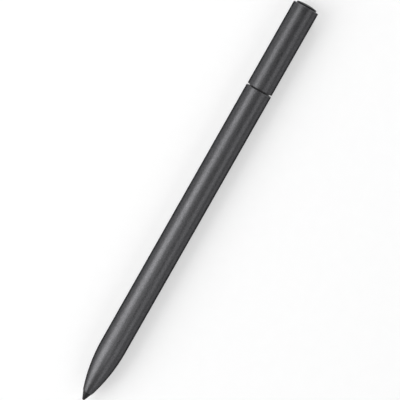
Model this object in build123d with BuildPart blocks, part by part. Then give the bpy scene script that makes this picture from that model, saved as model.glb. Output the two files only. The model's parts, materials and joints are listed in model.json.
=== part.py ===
from build123d import *
import math
import os

os.makedirs("parts", exist_ok=True)

# A stylus pen, lying along X on its barrel with the nib at the -X end and the tail button at the +X end.
# A place along the pen is its distance from the nib's point. A roll is an angle about the pen's axis:
# 0 faces the front (-Y) and 90 faces up (+Z). A height is measured from the axis. Sizes are in millimetres.
# The pen's length and the sleeve's length are what the pieces inside them add up to.

# Outer form
barrel_diameter = 9.5
barrel_wall = 0.7
nib_reach = 3.35  # nib point to the barrel's mouth
nose_length = 18.65  # mouth to the full barrel diameter
mouth_edge = 0.12  # width of the barrel's front rim
mouth_depth = 2.25  # mouth to the seat of the nose insert
groove_width = 0.5  # between the barrel and the closed sleeve
groove_chamfer = 0.13
sleeve_step = 0.08  # sleeve's surface below the barrel's
sleeve_wall = 0.87
rim_radius = 0.25
crown_height = 1.0  # top of the tail button above the sleeve's rim

# Nib, pressure rod and force sensor
nib_point_radius = 0.57
nib_half_angle = 22.0
neck_radius = 1.7  # of the nib's neck and the pressure rod, which run in one guide
nib_neck_length = 3.3
nib_stem_radius = 0.85
nib_stem_length = 8.5
socket_slack = 0.3  # room in front of and behind the nib's stem in its socket
rod_tail_radius = 1.0
rod_flange_radius = 2.2
rod_flange_thickness = 0.8
nib_travel = 0.3
insert_lip = 0.3
insert_overrun = 1.5  # how far the nose insert runs past the nose
tilt_ring_offset = 3.4  # from the insert's front
tilt_ring_length = 3.0
tilt_ring_thickness = 0.35
rod_spring_length = 5.6
rod_spring_wire = 0.35
rod_spring_turns = 5
pad_radius = 1.1
pad_tip_radius = 0.8
pad_rest = 0.3  # what is left of the pad's thickness at full press
sensor_radius = 2.3
sensor_length = 2.2
sensor_edge = 0.25
sensor_wall = 1.6  # chassis wall behind the sensor
flex_thickness = 0.12
sensor_flex_width = 2.2
sensor_flex_overlap = 1.6

# Board and what it carries
button_roll = -45.0
board_side_gap = 0.68  # from the board's long edges to the chassis's round
board_thickness = 0.8
board_top = 0.4
board_gap = 0.3  # between the board and the wall in front of it
board_tail = 6.36  # bare board behind the shield
board_screw_inset = 3.0
board_screw_margin = 1.0  # from the board's long edge
board_screw_head_radius = 0.9
board_screw_head_height = 0.5
board_screw_radius = 0.5
board_screw_grip = 2.0  # thread length in the chassis
recess_span = 1.1  # cross recess in each screw's head
recess_width = 0.25
recess_depth = 0.2
switch_length = 3.4
switch_width = 2.8
switch_height = 1.3
plunger_radius = 0.7
plunger_height = 0.4  # above the switch
plunger_depth = 0.5  # inside the switch
controller_size = 4.6
controller_height = 0.9
controller_gap = 3.8  # bare board between the rear switch and the controller's capacitors
radio_size = 3.5
radio_height = 0.8
package_edge = 0.12  # chamfer around a chip's top
dimple_radius = 0.25  # mark at a chip's first corner
dimple_depth = 0.06
dimple_inset = 0.7
shield_length = 7.0
shield_margin = 0.5  # from the board's long edges
shield_height = 1.4
shield_wall = 0.15
shield_gap = 1.2  # between the controller's capacitors and the shield
crystal_length = 2.5
crystal_width = 2.0
crystal_height = 0.6
crystal_base_height = 0.25
crystal_lid_inset = 0.15
passive_length = 0.6
passive_width = 1.0
passive_height = 0.5
passive_margin = 0.7  # from the board's long edges
passive_gap = 0.6  # between the controller and its capacitors
passive_rows = 2
passive_columns = 4

# Barrel buttons
button_inset = 3.17  # from the board's front edge to the front button's flange
button_gap = 1.0  # between the flanges of the two buttons
button_length = 8.6
button_width = 3.0
button_rise = 0.2  # above the barrel's surface
button_edge = 0.12
button_travel = 0.25
flange_overhang = 0.5
flange_depth = 1.0  # underside of the flange below the barrel's bore
post_radius = 0.7

# Battery
battery_length = 30.0
battery_edge = 0.4
crimp_offset = 1.6  # groove behind the cell's front end
crimp_width = 0.6
crimp_depth = 0.2
battery_bulkhead = 1.2
chassis_wall = 0.65  # trough under the battery
trough_edge = 0.6  # height of the trough's open edges
tab_width = 1.4
tab_thickness = 0.15
tab_offset = 1.5
tab_rise = 1.2
tab_overlap = 1.2
tail_flex_width = 1.2
tail_flex_overlap = 1.8
tail_flex_gap = 0.25  # between the flex and the side of the charging port

# Stem, charging port and light
stem_wall = 0.75
spigot_length = 12.0
chassis_block_length = 5.0
stem_screw_place = 2.6  # behind the spigot's front end
stem_screw_head_radius = 0.9
stem_screw_head_height = 0.4
stem_screw_radius = 0.55
stem_screw_length = 2.2
port_length = 8.94
port_width = 3.16
port_wall = 0.3
port_recess = 0.05  # mouth's edges below the stem's surface
port_floor_wall = 0.4  # stem below the charging board
plug_margin = 2.13  # how far a plug's body reaches past each end of the port
tongue_length = 6.69
tongue_thickness = 0.7
tongue_recess = 0.5  # below the port's mouth
tongue_base_height = 1.2
contact_pitch = 0.5
contact_width = 0.25
contact_thickness = 0.05
contact_recess = 0.5  # below the tongue's edge
contact_count = 12
charge_board_width = 2.2
charge_board_thickness = 0.25
light_offset = 1.15  # centre of the light behind the port
light_radius = 0.45
led_length = 1.0
led_width = 0.6
led_height = 0.4
led_base_height = 0.22
lens_radius = 0.22

# Slide of the sleeve
slide_ring_radius = 0.22
slide_ring_offset = 1.2  # behind the front edge of the open sleeve
detent_margin = 1.3
detent_length = 5.7
detent_width = 1.8
detent_thickness = 0.15
detent_pocket = 0.45
detent_bump_radius = 0.6
detent_bump_taper = 15.0
keyway_depth = 0.42

# Tail button
head_gap = 0.1  # around the head, in the sleeve
head_depth = 2.4  # in the sleeve at rest
head_dome = 0.4
head_edge = 0.32
tail_travel = 0.4
shank_radius = 1.1
tail_spring_length = 2.2
tail_spring_inset = 1.5  # of the coil's middle, from the head's side
tail_spring_wire = 0.3
tail_spring_turns = 3
bush_thickness = 1.6
clip_thickness = 0.3
clip_radius = 1.9
clip_groove = 0.3
shank_end_length = 0.45
tail_switch_size = 3.4
tail_switch_height = 1.2
tail_board_thickness = 0.8
tail_board_edge = 0.3  # radial step that the board seats on
tail_board_recess = 0.3

# Clearances
slide_gap = 0.05  # radial, between pieces that slide on each other
mouth_gap = 0.05  # around the nib
slot_gap = 0.08  # around the barrel buttons
seat_gap = 0.02  # between pieces that are fitted together
stop_gap = 0.03  # between a moving piece and its stop

full_turn = 360.0

# The port faces a quarter turn from the buttons, so the tail flex passes its flat side
port_roll = button_roll + full_turn / 4

# Radii and heights, from the barrel's surface inwards
barrel_radius = barrel_diameter / 2
bore_radius = barrel_radius - barrel_wall
chassis_radius = bore_radius - slide_gap
battery_radius = chassis_radius - chassis_wall - slide_gap
flange_height = bore_radius - flange_depth
sleeve_radius = barrel_radius - sleeve_step
sleeve_bore_radius = sleeve_radius - sleeve_wall
stem_radius = sleeve_bore_radius - slide_gap
stem_bore_radius = stem_radius - stem_wall
tail_flex_height = port_width / 2 + tail_flex_gap
tail_board_radius = stem_bore_radius + tail_board_edge
head_radius = sleeve_bore_radius - head_gap
tail_spring_radius = head_radius - tail_spring_inset
slide_ring_center = sleeve_bore_radius - seat_gap - slide_ring_radius
slide_groove_radius = slide_ring_center - slide_ring_radius - seat_gap
slide_groove_half = slide_ring_radius + slide_gap
detent_floor = stem_radius - detent_pocket
keyway_floor = sleeve_bore_radius + keyway_depth
bump_height = keyway_floor - slide_gap
stem_screw_head_top = math.sqrt(bore_radius**2 - stem_screw_head_radius**2) - slide_gap

# Radii from the nib outwards
mouth_hole_radius = neck_radius + mouth_gap
mouth_radius = mouth_hole_radius + mouth_edge
guide_radius = neck_radius + slide_gap
nose_seat_radius = guide_radius + insert_lip
rod_spring_radius = (rod_flange_radius + rod_tail_radius) / 2
pocket_radius = sensor_radius + slide_gap

# Sizes across the board
board_bottom = board_top - board_thickness
board_width = 2 * (math.sqrt(chassis_radius**2 - board_top**2) - board_side_gap)
board_screw_offset = board_width / 2 - board_screw_margin
shield_width = board_width - 2 * shield_margin
passive_spacing = (board_width - 2 * passive_margin - passive_width) / (passive_columns - 1)
passive_row_spacing = controller_size + 2 * passive_gap + passive_length
switch_top = board_top + switch_height
plunger_top = switch_top + plunger_height
plunger_bottom = switch_top - plunger_depth

# Heights in the charging port
port_mouth = math.sqrt(stem_radius**2 - (port_width / 2) ** 2) - port_recess
charge_board_bottom = -math.sqrt((stem_radius - port_floor_wall) ** 2 - (charge_board_width / 2) ** 2)
port_base = charge_board_bottom + charge_board_thickness
port_height = port_mouth - port_base
tongue_base = port_base + tongue_base_height
tongue_height = port_mouth - tongue_recess - tongue_base
contact_length = tongue_height - contact_recess

# Places from the nib's point to the force sensor
mouth = nib_reach
nose_end = mouth + nose_length
nose_seat = mouth + mouth_depth
insert_start = nose_seat + seat_gap
insert_end = nose_end + insert_overrun
tilt_ring_start = insert_start + tilt_ring_offset
nib_cone_start = nib_point_radius * (1 - math.sin(math.radians(nib_half_angle)))
nib_cone_start_radius = nib_point_radius * math.cos(math.radians(nib_half_angle))
nib_cone_length = (neck_radius - nib_cone_start_radius) / math.tan(math.radians(nib_half_angle))
nib_neck_start = nib_cone_start + nib_cone_length
nib_shoulder = nib_neck_start + nib_neck_length
nib_end = nib_shoulder + nib_stem_length
rod_start = nib_shoulder + socket_slack
socket_end = nib_end + socket_slack
chassis_start = insert_end + seat_gap
flange_start = insert_end + stop_gap
flange_end = flange_start + rod_flange_thickness
sensor_start = flange_end + rod_spring_length
sensor_end = sensor_start + sensor_length
pad_thickness = pad_rest + nib_travel
rod_end = sensor_start - pad_thickness - seat_gap
sensor_wall_end = sensor_end + sensor_wall

# Places along the board and the battery
board_start = sensor_wall_end + board_gap
button_reach = button_length / 2 + flange_overhang
front_button_place = board_start + button_inset + button_reach
rear_button_place = front_button_place + 2 * button_reach + button_gap
crystal_place = (front_button_place + rear_button_place) / 2
passive_reach = (passive_row_spacing + passive_length) / 2
controller_place = rear_button_place + switch_length / 2 + controller_gap + passive_reach
shield_place = controller_place + passive_reach + shield_gap + shield_length / 2
board_end = shield_place + shield_length / 2 + board_tail
board_length = board_end - board_start
battery_start = board_end + board_gap + tab_rise
battery_end = battery_start + battery_length
bulkhead_start = battery_end + seat_gap
chassis_end = bulkhead_start + battery_bulkhead

# Places along the stem and the sleeve
spigot_start = chassis_end + seat_gap
barrel_end = spigot_start + spigot_length
sleeve_start = barrel_end + groove_width
plug_room = port_length + 2 * plug_margin  # clear length of stem when the sleeve is open
sleeve_travel = plug_room - groove_width
port_place = barrel_end + plug_room / 2
light_place = port_place + port_length / 2 + light_offset
charge_board_start = port_place - port_length / 2
charge_board_length = light_place + led_length - charge_board_start
charge_board_place = charge_board_start + charge_board_length / 2
slide_ring_place = barrel_end + plug_room + slide_ring_offset
detent_place = slide_ring_place + detent_margin + detent_length / 2
detent_roll = port_roll + full_turn / 2

# Places along the tail button, up to the pen's length
tail_board_start = detent_place + detent_length / 2 + detent_margin
tail_board_end = tail_board_start + tail_board_thickness
stem_end = tail_board_end + tail_board_recess
tail_switch_end = tail_board_end + tail_switch_height
tail_plunger_end = tail_switch_end + plunger_height
shank_end = tail_plunger_end + seat_gap
clip_start = shank_end + shank_end_length
clip_end = clip_start + clip_thickness
bush_start = clip_end + stop_gap
bush_end = bush_start + bush_thickness
head_bottom = bush_end + tail_spring_length
rim = head_bottom + head_depth
sleeve_length = rim - sleeve_start
pen_length = rim + crown_height


def radial(roll):
    """Unit direction square to the pen's axis at a roll."""
    return Vector(0, -math.cos(math.radians(roll)), math.sin(math.radians(roll)))


def axis_point(place):
    """Point on the pen's axis."""
    return Vector(place - pen_length / 2, 0, barrel_radius)


def across(place, roll=button_roll):
    """Plane square to the axis: local z runs to the tail and local x is the radial direction at the roll."""
    return Plane(origin=axis_point(place), x_dir=radial(roll), z_dir=(1, 0, 0))


def facing(place, height, roll):
    """Plane that faces outwards at a height above the axis: local x runs to the tail."""
    return Plane(origin=axis_point(place) + radial(roll) * height, x_dir=(1, 0, 0), z_dir=radial(roll))


def lengthwise(roll=full_turn / 4):
    """Plane that holds the axis: local x is the place along the pen and local y the height at the roll."""
    return Plane(origin=axis_point(0), x_dir=(1, 0, 0), z_dir=Vector(1, 0, 0).cross(radial(roll)))


pen_axis = Axis(axis_point(0), (1, 0, 0))


def turned(*outline):
    """Piece turned about the pen's axis from its outline of (place, radius) points."""
    with BuildPart() as piece:
        with BuildSketch(lengthwise()):
            with BuildLine():
                Polyline(*outline, close=True)
            make_face()
        revolve(axis=pen_axis)
    return piece


def ring(start, end, inner_radius, outer_radius):
    """Plain turned ring."""
    return turned((start, inner_radius), (start, outer_radius), (end, outer_radius), (end, inner_radius))


def block(place, height, roll, length, width, rise):
    """Rectangular piece that stands on a plane facing outwards."""
    with BuildPart() as piece:
        with BuildSketch(facing(place, height, roll)):
            Rectangle(length, width)
        extrude(amount=rise)
    return piece


def coil(start, end, radius, wire_diameter, turns):
    """Round-wire spring about the pen's axis, swept along half-turn arcs."""
    first = start + wire_diameter / 2 + seat_gap
    pitch = (end - start - wire_diameter - 2 * seat_gap) / turns

    def on_coil(turn):
        return axis_point(first + pitch * turn) + radial(full_turn * turn) * radius

    with BuildPart() as spring:
        with BuildLine() as path:
            for half in range(2 * turns):
                ThreePointArc(on_coil(half / 2), on_coil(half / 2 + 0.25), on_coil(half / 2 + 0.5))
        with BuildSketch(Plane(origin=path.line @ 0, z_dir=path.line % 0)):
            Circle(wire_diameter / 2)
        sweep()
    return spring


# Barrel: straight tube with a long rounded nose, a chamfered rear edge and two slots for its buttons
with BuildPart() as barrel:
    with BuildSketch(lengthwise()):
        with BuildLine():
            Line((mouth, mouth_hole_radius), (mouth, mouth_radius))
            TangentArc((nose_end, barrel_radius), (mouth, mouth_radius), tangent=(-1, 0))
            Polyline(
                (nose_end, barrel_radius),
                (barrel_end, barrel_radius),
                (barrel_end, bore_radius),
                (nose_end, bore_radius),
            )
            TangentArc((nose_end, bore_radius), (nose_seat, nose_seat_radius), tangent=(-1, 0))
            Polyline(
                (nose_seat, nose_seat_radius),
                (nose_seat, mouth_hole_radius),
                (mouth, mouth_hole_radius),
            )
        make_face()
    revolve(axis=pen_axis)
    front_edges = barrel.edges().filter_by(GeomType.CIRCLE).group_by(Axis.X)[0]
    chamfer(front_edges.sort_by(SortBy.RADIUS)[-1], mouth_edge / 3)
    rear_edges = barrel.edges().filter_by(GeomType.CIRCLE).group_by(Axis.X)[-1]
    chamfer(rear_edges.sort_by(SortBy.RADIUS)[-1], groove_chamfer)
    for button_place in (front_button_place, rear_button_place):
        with BuildSketch(facing(button_place, 0, button_roll)):
            SlotOverall(button_length + 2 * slot_gap, button_width + 2 * slot_gap)
        extrude(amount=barrel_diameter, mode=Mode.SUBTRACT)

# Nib: rounded point, cone and neck that show, and a stem that plugs into the pressure rod
with BuildPart() as nib:
    with BuildSketch(lengthwise()):
        with BuildLine():
            TangentArc((0, 0), (nib_cone_start, nib_cone_start_radius), tangent=(0, 1))
            Polyline(
                (nib_cone_start, nib_cone_start_radius),
                (nib_neck_start, neck_radius),
                (nib_shoulder, neck_radius),
                (nib_shoulder, nib_stem_radius),
                (nib_end, nib_stem_radius),
                (nib_end, 0),
                (0, 0),
            )
        make_face()
    revolve(axis=pen_axis)

# Pressure rod: socket for the nib, a flange that stops it and a tail that presses the sensor's pad
pressure_rod = turned(
    (rod_start, nib_stem_radius + seat_gap),
    (rod_start, neck_radius),
    (flange_start, neck_radius),
    (flange_start, rod_flange_radius),
    (flange_end, rod_flange_radius),
    (flange_end, rod_tail_radius),
    (rod_end, rod_tail_radius),
    (rod_end, 0),
    (socket_end, 0),
    (socket_end, nib_stem_radius + seat_gap),
)

# Nose insert: fills the nose's bore, guides the rod and carries the tilt ring in a groove
with BuildPart() as nose_insert:
    with BuildSketch(lengthwise()):
        with BuildLine():
            Line((insert_start, guide_radius), (insert_start, nose_seat_radius - seat_gap))
            TangentArc(
                (nose_end, bore_radius - seat_gap),
                (insert_start, nose_seat_radius - seat_gap),
                tangent=(-1, 0),
            )
            Polyline(
                (nose_end, bore_radius - seat_gap),
                (insert_end, bore_radius - seat_gap),
                (insert_end, guide_radius),
                (insert_start, guide_radius),
            )
        make_face()
    revolve(axis=pen_axis)
    with BuildSketch(across(tilt_ring_start)):
        Circle(guide_radius + tilt_ring_thickness)
    extrude(amount=tilt_ring_length, mode=Mode.SUBTRACT)

tilt_ring = ring(
    tilt_ring_start,
    tilt_ring_start + tilt_ring_length,
    guide_radius + seat_gap,
    guide_radius + tilt_ring_thickness,
)
rod_spring = coil(flange_end, sensor_start, rod_spring_radius, rod_spring_wire, rod_spring_turns)
sensor_pad = turned(
    (sensor_start - pad_thickness, 0),
    (sensor_start - pad_thickness, pad_tip_radius),
    (sensor_start, pad_radius),
    (sensor_start, 0),
)

# Force sensor: flat capsule with bevelled edges
with BuildPart() as force_sensor:
    with BuildSketch(across(sensor_start)):
        Circle(sensor_radius)
    extrude(amount=sensor_length)
    chamfer(force_sensor.edges().filter_by(GeomType.CIRCLE), sensor_edge)

sensor_flex = block(
    (sensor_end + board_start + sensor_flex_overlap) / 2,
    board_top,
    button_roll,
    board_start + sensor_flex_overlap - sensor_end,
    sensor_flex_width,
    flex_thickness,
)

board_screw_spots = (
    (board_start + board_screw_inset, board_screw_offset),
    (board_end - board_screw_inset, -board_screw_offset),
)
board_middle = (board_start + board_end) / 2
stem_screw_rolls = (button_roll + full_turn / 4, button_roll - full_turn / 4)

# Chassis: sensor block, flat bed for the board, trough for the battery and a block inside the stem
with BuildPart() as chassis:
    with BuildSketch(across(chassis_start)):
        Circle(chassis_radius)
    extrude(amount=chassis_end - chassis_start)
    with BuildSketch(across(chassis_end)):
        Circle(stem_bore_radius - slide_gap)
    extrude(amount=chassis_block_length)
    with BuildSketch(across(chassis_start)):
        Circle(pocket_radius)
    extrude(amount=sensor_end - chassis_start, mode=Mode.SUBTRACT)
    with BuildSketch(facing((sensor_wall_end + battery_start) / 2, board_bottom, button_roll)):
        Rectangle(battery_start - sensor_wall_end, barrel_diameter)
    extrude(amount=barrel_diameter, mode=Mode.SUBTRACT)
    with BuildSketch(across(battery_start)):
        Circle(battery_radius + slide_gap)
    extrude(amount=bulkhead_start - battery_start, mode=Mode.SUBTRACT)
    with BuildSketch(facing((battery_start + bulkhead_start) / 2, trough_edge, button_roll)):
        Rectangle(bulkhead_start - battery_start, barrel_diameter)
    extrude(amount=barrel_diameter, mode=Mode.SUBTRACT)
    with BuildSketch(facing((sensor_end + sensor_wall_end) / 2, board_top - seat_gap, button_roll)):
        Rectangle(2 * sensor_wall, sensor_flex_width + 2 * slide_gap)
    extrude(amount=flex_thickness + 2 * seat_gap, mode=Mode.SUBTRACT)
    flex_notch_length = chassis_end + chassis_block_length - bulkhead_start
    with BuildSketch(facing(bulkhead_start + flex_notch_length / 2, tail_flex_height - slide_gap, button_roll)):
        Rectangle(flex_notch_length, tail_flex_width + 2 * slide_gap)
    extrude(amount=barrel_diameter, mode=Mode.SUBTRACT)
    with BuildSketch(facing(0, board_bottom - board_screw_grip, button_roll)):
        with Locations(*board_screw_spots):
            Circle(board_screw_radius + seat_gap)
    extrude(amount=board_screw_grip, mode=Mode.SUBTRACT)
    for screw_roll in stem_screw_rolls:
        screw_point = stem_screw_head_top - stem_screw_length - seat_gap
        with BuildSketch(facing(spigot_start + stem_screw_place, screw_point, screw_roll)):
            Circle(stem_screw_radius + seat_gap)
        extrude(amount=barrel_diameter, mode=Mode.SUBTRACT)

# Main board, with clearance holes for its screws
with BuildPart() as main_board:
    with BuildSketch(facing(board_middle, board_bottom, button_roll)):
        RectangleRounded(board_length, board_width, board_gap)
    extrude(amount=board_thickness)
    with BuildSketch(facing(0, board_bottom, button_roll)):
        with Locations(*board_screw_spots):
            Circle(board_screw_radius + slide_gap)
    extrude(amount=board_thickness, mode=Mode.SUBTRACT)

# Two cross-head screws hold the board to the chassis
with BuildPart() as board_screws:
    with BuildSketch(facing(0, board_top, button_roll)):
        with Locations(*board_screw_spots):
            Circle(board_screw_head_radius)
    extrude(amount=board_screw_head_height)
    with BuildSketch(facing(0, board_top, button_roll)):
        with Locations(*board_screw_spots):
            Circle(board_screw_radius)
    extrude(amount=-(board_thickness + board_screw_grip))
    with BuildSketch(facing(0, board_top + board_screw_head_height, button_roll)):
        with Locations(*board_screw_spots):
            Rectangle(recess_span, recess_width)
            Rectangle(recess_width, recess_span)
    extrude(amount=-recess_depth, mode=Mode.SUBTRACT)

# Switches under the two barrel buttons, each with a hole for its plunger
with BuildPart() as barrel_switches:
    with BuildSketch(facing(0, board_top, button_roll)):
        with Locations((front_button_place, 0), (rear_button_place, 0)):
            Rectangle(switch_length, switch_width)
    extrude(amount=switch_height)
    with BuildSketch(facing(0, plunger_bottom - button_travel - stop_gap, button_roll)):
        with Locations((front_button_place, 0), (rear_button_place, 0)):
            Circle(plunger_radius + slide_gap)
    extrude(amount=switch_height, mode=Mode.SUBTRACT)


def switch_plunger(place):
    """Round plunger of a barrel switch."""
    with BuildPart() as plunger:
        with BuildSketch(facing(place, plunger_bottom, button_roll)):
            Circle(plunger_radius)
        extrude(amount=plunger_top - plunger_bottom)
    return plunger


def barrel_button(place):
    """Key that fills its slot, with a flange under the barrel's wall and a post down to its switch."""
    with BuildPart() as key:
        with BuildSketch(facing(place, flange_height, button_roll)):
            SlotOverall(button_length + 2 * flange_overhang, button_width + 2 * flange_overhang)
        extrude(amount=barrel_radius)
        with BuildSketch(across(place - button_length)):
            Circle(bore_radius - stop_gap)
        extrude(amount=2 * button_length, mode=Mode.INTERSECT)
        with BuildSketch(facing(place, flange_height, button_roll)):
            SlotOverall(button_length, button_width)
        extrude(amount=barrel_radius)
        with BuildSketch(across(place - button_length)):
            Circle(barrel_radius + button_rise)
        extrude(amount=2 * button_length, mode=Mode.INTERSECT)
        outer_face = key.faces().sort_by(Axis(axis_point(place), radial(button_roll)))[-1]
        fillet(outer_face.edges(), button_edge)
        with BuildSketch(facing(place, plunger_top, button_roll)):
            Circle(post_radius)
        extrude(amount=flange_height - plunger_top)
    return key


front_plunger = switch_plunger(front_button_place)
rear_plunger = switch_plunger(rear_button_place)
front_button = barrel_button(front_button_place)
rear_button = barrel_button(rear_button_place)


def chip(place, size, height):
    """Square moulded chip with a chamfered top and a dimple at its first corner."""
    with BuildPart() as package:
        with BuildSketch(facing(place, board_top, button_roll)):
            Rectangle(size, size)
        extrude(amount=height)
        top_face = package.faces().sort_by(Axis(axis_point(place), radial(button_roll)))[-1]
        chamfer(top_face.edges(), package_edge)
        with BuildSketch(facing(place, board_top + height, button_roll)):
            with Locations((dimple_inset - size / 2, size / 2 - dimple_inset)):
                Circle(dimple_radius)
        extrude(amount=-dimple_depth, mode=Mode.SUBTRACT)
    return package


controller_chip = chip(controller_place, controller_size, controller_height)
radio_chip = chip(shield_place, radio_size, radio_height)

# Crystal: round-cornered lid on a flat base
with BuildPart() as crystal:
    with BuildSketch(facing(crystal_place, board_top, button_roll)):
        Rectangle(crystal_length, crystal_width)
    extrude(amount=crystal_base_height)
    with BuildSketch(facing(crystal_place, board_top, button_roll)):
        RectangleRounded(
            crystal_length - 2 * crystal_lid_inset,
            crystal_width - 2 * crystal_lid_inset,
            2 * crystal_lid_inset,
        )
    extrude(amount=crystal_height)

# Shield can over the radio chip, open towards the board
with BuildPart() as radio_shield:
    with BuildSketch(facing(shield_place, board_top, button_roll)):
        RectangleRounded(shield_length, shield_width, 2 * shield_wall)
    extrude(amount=shield_height)
    with BuildSketch(facing(shield_place, board_top, button_roll)):
        Rectangle(shield_length - 2 * shield_wall, shield_width - 2 * shield_wall)
    extrude(amount=shield_height - shield_wall, mode=Mode.SUBTRACT)

# Small capacitors and resistors in two rows beside the controller
with BuildPart() as passives:
    with BuildSketch(facing(controller_place, board_top, button_roll)):
        with GridLocations(passive_row_spacing, passive_spacing, passive_rows, passive_columns):
            Rectangle(passive_length, passive_width)
    extrude(amount=passive_height)

# Battery: round cell with rounded ends and a crimped groove near its front
with BuildPart() as battery:
    with BuildSketch(across(battery_start)):
        Circle(battery_radius)
    extrude(amount=battery_length)
    fillet(battery.edges().filter_by(GeomType.CIRCLE), battery_edge)
    with BuildSketch(across(battery_start + crimp_offset)):
        Circle(battery_radius)
        Circle(battery_radius - crimp_depth, mode=Mode.SUBTRACT)
    extrude(amount=crimp_width, mode=Mode.SUBTRACT)

# Two strips from the cell's end to the board
with BuildPart() as battery_tabs:
    for tab_side in (-tab_offset, tab_offset):
        with BuildSketch(lengthwise(button_roll).offset(tab_side)):
            with BuildLine():
                Polyline(
                    (board_end - tab_overlap, board_top),
                    (battery_start, board_top),
                    (battery_start, board_top + tab_rise),
                    (battery_start - tab_thickness, board_top + tab_rise),
                    (battery_start - tab_thickness, board_top + tab_thickness),
                    (board_end - tab_overlap, board_top + tab_thickness),
                    close=True,
                )
            make_face()
        extrude(amount=tab_width / 2, both=True)

# Flex from the board, over the battery and through the stem to the tail board
flex_over_battery = battery_radius + seat_gap
with BuildPart() as tail_flex:
    with BuildSketch(lengthwise(button_roll)):
        with BuildLine():
            Polyline(
                (board_end - tail_flex_overlap, board_top),
                (board_end, board_top),
                (battery_start - tab_rise, flex_over_battery),
                (battery_end + seat_gap, flex_over_battery),
                (bulkhead_start + battery_bulkhead, tail_flex_height),
                (tail_board_start, tail_flex_height),
                (tail_board_start, tail_flex_height + flex_thickness),
                (bulkhead_start + battery_bulkhead, tail_flex_height + flex_thickness),
                (battery_end + seat_gap, flex_over_battery + flex_thickness),
                (battery_start - tab_rise, flex_over_battery + flex_thickness),
                (board_end - flex_thickness, board_top + flex_thickness),
                (board_end - tail_flex_overlap, board_top + flex_thickness),
                close=True,
            )
        make_face()
    extrude(amount=tail_flex_width / 2, both=True)

# Stem: spigot inside the barrel and a neck that carries the port, the slide ring and the tail board
with BuildPart() as stem:
    with BuildSketch(lengthwise()):
        with BuildLine():
            Polyline(
                (spigot_start, stem_bore_radius),
                (spigot_start, bore_radius - seat_gap),
                (barrel_end, bore_radius - seat_gap),
                (barrel_end, stem_radius),
                (slide_ring_place - slide_groove_half, stem_radius),
                (slide_ring_place - slide_groove_half, slide_groove_radius),
                (slide_ring_place + slide_groove_half, slide_groove_radius),
                (slide_ring_place + slide_groove_half, stem_radius),
                (stem_end, stem_radius),
                (stem_end, tail_board_radius),
                (tail_board_start, tail_board_radius),
                (tail_board_start, stem_bore_radius),
                close=True,
            )
        make_face()
    revolve(axis=pen_axis)
    with BuildSketch(facing(port_place, port_base - seat_gap, port_roll)):
        SlotOverall(port_length + 2 * slide_gap, port_width + 2 * slide_gap)
    extrude(amount=barrel_diameter, mode=Mode.SUBTRACT)
    with BuildSketch(facing(charge_board_place, charge_board_bottom - seat_gap, port_roll)):
        Rectangle(charge_board_length + 2 * slide_gap, charge_board_width + 2 * slide_gap)
    extrude(amount=stem_radius, mode=Mode.SUBTRACT)
    with BuildSketch(facing(light_place, 0, port_roll)):
        Circle(light_radius + slide_gap)
    extrude(amount=barrel_diameter, mode=Mode.SUBTRACT)
    with BuildSketch(facing(detent_place, detent_floor, detent_roll)):
        Rectangle(detent_length + 2 * slide_gap, detent_width + 2 * slide_gap)
    extrude(amount=barrel_diameter, mode=Mode.SUBTRACT)
    for screw_roll in stem_screw_rolls:
        with Locations(facing(spigot_start + stem_screw_place, bore_radius, screw_roll)):
            CounterBoreHole(
                radius=stem_screw_radius + slide_gap,
                counter_bore_radius=stem_screw_head_radius + slide_gap,
                counter_bore_depth=bore_radius - stem_screw_head_top + stem_screw_head_height,
                depth=bore_radius,
            )

# Two cross-head screws join the stem to the chassis block inside it
with BuildPart() as stem_screws:
    for screw_roll in stem_screw_rolls:
        with BuildSketch(facing(spigot_start + stem_screw_place, stem_screw_head_top, screw_roll)):
            Circle(stem_screw_head_radius)
        extrude(amount=-stem_screw_head_height)
        with BuildSketch(facing(spigot_start + stem_screw_place, stem_screw_head_top, screw_roll)):
            Circle(stem_screw_radius)
        extrude(amount=-stem_screw_length)
        with BuildSketch(facing(spigot_start + stem_screw_place, stem_screw_head_top, screw_roll)):
            Rectangle(recess_span, recess_width)
            Rectangle(recess_width, recess_span)
        extrude(amount=-recess_depth, mode=Mode.SUBTRACT)

# Charging port: drawn metal shell
with BuildPart() as port_shell:
    with BuildSketch(facing(port_place, port_base, port_roll)):
        SlotOverall(port_length, port_width)
        SlotOverall(port_length - 2 * port_wall, port_width - 2 * port_wall, mode=Mode.SUBTRACT)
    extrude(amount=port_height)

# Charging port: moulded base and tongue
with BuildPart() as port_tongue:
    with BuildSketch(facing(port_place, port_base, port_roll)):
        SlotOverall(port_length - 2 * port_wall - 2 * seat_gap, port_width - 2 * port_wall - 2 * seat_gap)
    extrude(amount=tongue_base_height)
    with BuildSketch(facing(port_place, tongue_base, port_roll)):
        RectangleRounded(tongue_length, tongue_thickness, tongue_thickness / 3)
    extrude(amount=tongue_height)

# Charging port: a row of contacts on each side of the tongue
with BuildPart() as port_contacts:
    with BuildSketch(facing(port_place, tongue_base, port_roll)):
        with GridLocations(contact_pitch, tongue_thickness + contact_thickness, contact_count, 2):
            Rectangle(contact_width, contact_thickness)
    extrude(amount=contact_length)

charge_board = block(
    charge_board_place,
    charge_board_bottom,
    port_roll,
    charge_board_length,
    charge_board_width,
    charge_board_thickness,
)

# Lamp: flat body with a round lens
with BuildPart() as status_led:
    with BuildSketch(facing(light_place, port_base, port_roll)):
        Rectangle(led_length, led_width)
    extrude(amount=led_base_height)
    with BuildSketch(facing(light_place, port_base, port_roll)):
        Circle(lens_radius)
    extrude(amount=led_height)

# Light pipe from the lamp to the stem's surface
with BuildPart() as light_pipe:
    with BuildSketch(facing(light_place, port_base + led_height + seat_gap, port_roll)):
        Circle(light_radius)
    extrude(amount=stem_radius - port_recess - port_base - led_height - seat_gap)

# Slide ring: round-section seal that rubs in the sleeve's bore
with BuildPart() as slide_ring:
    with BuildSketch(lengthwise()):
        with Locations((slide_ring_place, slide_ring_center)):
            Circle(slide_ring_radius)
    revolve(axis=pen_axis)

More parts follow.
